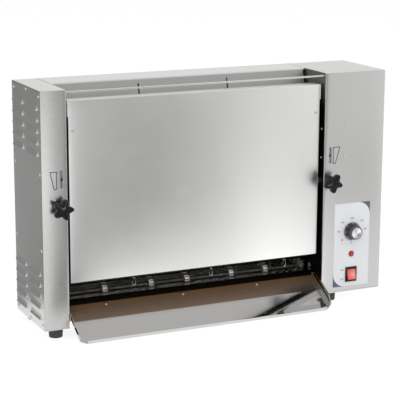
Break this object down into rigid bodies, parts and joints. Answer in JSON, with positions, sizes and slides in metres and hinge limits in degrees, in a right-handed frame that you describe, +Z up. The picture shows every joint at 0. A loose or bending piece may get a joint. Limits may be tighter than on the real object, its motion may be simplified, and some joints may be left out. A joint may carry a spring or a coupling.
{
  "type": "vertical toaster",
  "caption": "Upright conveyor toaster: a wide heated panel between a narrow column and a control box, an inner wire belt, gap knobs, a thermostat dial, a rocker switch and a sloped tray.",
  "frame": {"origin": "middle of the overall box at the level of the worktop", "axes": "+X to the control box, +Y to the back, +Z up"},
  "size_m": [0.7864, 0.249, 0.505],
  "materials": {
    "stainless": "brushed, fine grain",
    "dark_steel": "dark, heat-stained",
    "belt_steel": "dull wire",
    "chain_steel": "oiled",
    "wheel_metal": "cast, dull",
    "plate_metal": "machined",
    "release_cloth": "coated cloth, satin",
    "heater_sheath": "oxidised",
    "board_fibre": "pressed fibre",
    "bulb_copper": "bare",
    "bush_bronze": "sintered",
    "black_gloss": "glossy moulding",
    "black_matte": "fine texture",
    "foot_rubber": "matt",
    "label_film": "printed film",
    "red_lens": "translucent",
    "red_rocker": "translucent",
    "cap_silver": "turned",
    "ceramic_white": "moulded",
    "motor_grey": "satin paint"
  },
  "bodies": {
    "frame": {"base_pan": "stainless", "left_housing": "stainless", "right_housing": "stainless", "left_side_cover": "stainless", "right_side_cover": "stainless", "rear_cover": "stainless", "rear_guide": "stainless", "guide_rod": "stainless", "chute_bracket": "dark_steel", "landing_tray": "stainless", "tray_rails": "stainless", "feet": "foot_rubber", "foot_screws": "stainless", "cover_screws": "stainless", "rear_cover_screws": "stainless", "tray_screws": "stainless", "bracket_screws": "stainless", "spindle_bushes": "bush_bronze", "left_pointer_guide": "stainless", "right_pointer_bracket": "stainless", "control_label": "label_film", "thermostat_body": "ceramic_white", "pilot_lens": "red_lens", "pilot_body": "black_matte", "switch_body": "black_matte", "terminal_block": "ceramic_white", "mains_gland": "black_matte", "gearmotor": "motor_grey", "motor_bracket": "stainless", "drive_chain": "chain_steel", "shaft_bushes": "bush_bronze", "conveyor_belt": "belt_steel", "belt_backing": "stainless", "stripper_wire": "stainless"},
    "carriage": {"front_panel": "stainless", "panel_screws": "stainless", "platen": "plate_metal", "release_sheet": "release_cloth", "heating_elements": "heater_sheath", "element_clamps": "stainless", "insulation_board": "board_fibre", "temperature_bulb": "bulb_copper", "left_carriage_arm": "stainless", "right_carriage_arm": "stainless"},
    "left_adjuster": {"left_knob": "black_gloss", "left_spindle": "stainless"},
    "right_adjuster": {"right_knob": "black_gloss", "right_spindle": "stainless"},
    "left_indicator": {"left_pointer": "black_matte"},
    "right_indicator": {"right_pointer": "black_matte"},
    "thermostat_dial": {"dial_knob": "black_gloss", "dial_cap": "cap_silver", "thermostat_shaft": "stainless"},
    "switch_rocker": {"rocker": "red_rocker"},
    "lower_shaft": {"drive_shaft": "dark_steel", "drive_wheels": "wheel_metal", "drive_sprocket": "stainless"},
    "upper_shaft": {"idler_shaft": "dark_steel", "idler_wheels": "wheel_metal"},
    "motor_output": {"motor_sprocket": "stainless"}
  },
  "joints": [
    {"name": "carriage_slide", "type": "slide", "parent": "frame", "child": "carriage", "axis": [0, 1, 0], "range_m": [-0.008, 0.008]},
    {"name": "left_knob_turn", "type": "hinge", "parent": "frame", "child": "left_adjuster", "pos_m": [-0.3535, -0.0675, 0.271], "axis": [0, 1, 0], "range_deg": [-725, 725]},
    {"name": "right_knob_turn", "type": "hinge", "parent": "frame", "child": "right_adjuster", "pos_m": [0.2565, -0.0675, 0.271], "axis": [0, 1, 0], "range_deg": [-725, 725]},
    {"name": "left_pointer_slide", "type": "slide", "parent": "frame", "child": "left_indicator", "axis": [0, 0, 1], "range_m": [-0.0145, 0.0145]},
    {"name": "right_pointer_slide", "type": "slide", "parent": "frame", "child": "right_indicator", "axis": [0, 0, 1], "range_m": [-0.0145, 0.0145]},
    {"name": "dial_turn", "type": "hinge", "parent": "frame", "child": "thermostat_dial", "pos_m": [0.31725, -0.0675, 0.1555], "axis": [0, 1, 0], "range_deg": [0, 270]},
    {"name": "rocker_tilt", "type": "hinge", "parent": "frame", "child": "switch_rocker", "pos_m": [0.31725, -0.0671, 0.0585], "axis": [1, 0, 0], "range_deg": [0, 18]},
    {"name": "drive_spin", "type": "hinge", "parent": "frame", "child": "lower_shaft", "pos_m": [0, 0.019, 0.066], "axis": [1, 0, 0], "continuous": true},
    {"name": "idler_spin", "type": "hinge", "parent": "frame", "child": "upper_shaft", "pos_m": [0, 0.019, 0.44], "axis": [1, 0, 0], "continuous": true},
    {"name": "motor_spin", "type": "hinge", "parent": "frame", "child": "motor_output", "pos_m": [0.26, 0.0485, 0.17], "axis": [1, 0, 0], "continuous": true}
  ],
  "couplings": [
    {"joint": "left_knob_turn", "follows": "carriage_slide", "rad_per_m": -1570.8},
    {"joint": "right_knob_turn", "follows": "carriage_slide", "rad_per_m": -1570.8},
    {"joint": "left_pointer_slide", "follows": "carriage_slide", "ratio": -1.75},
    {"joint": "right_pointer_slide", "follows": "carriage_slide", "ratio": -1.75},
    {"joint": "idler_spin", "follows": "drive_spin", "ratio": 1},
    {"joint": "motor_spin", "follows": "drive_spin", "ratio": 1.5714}
  ]
}
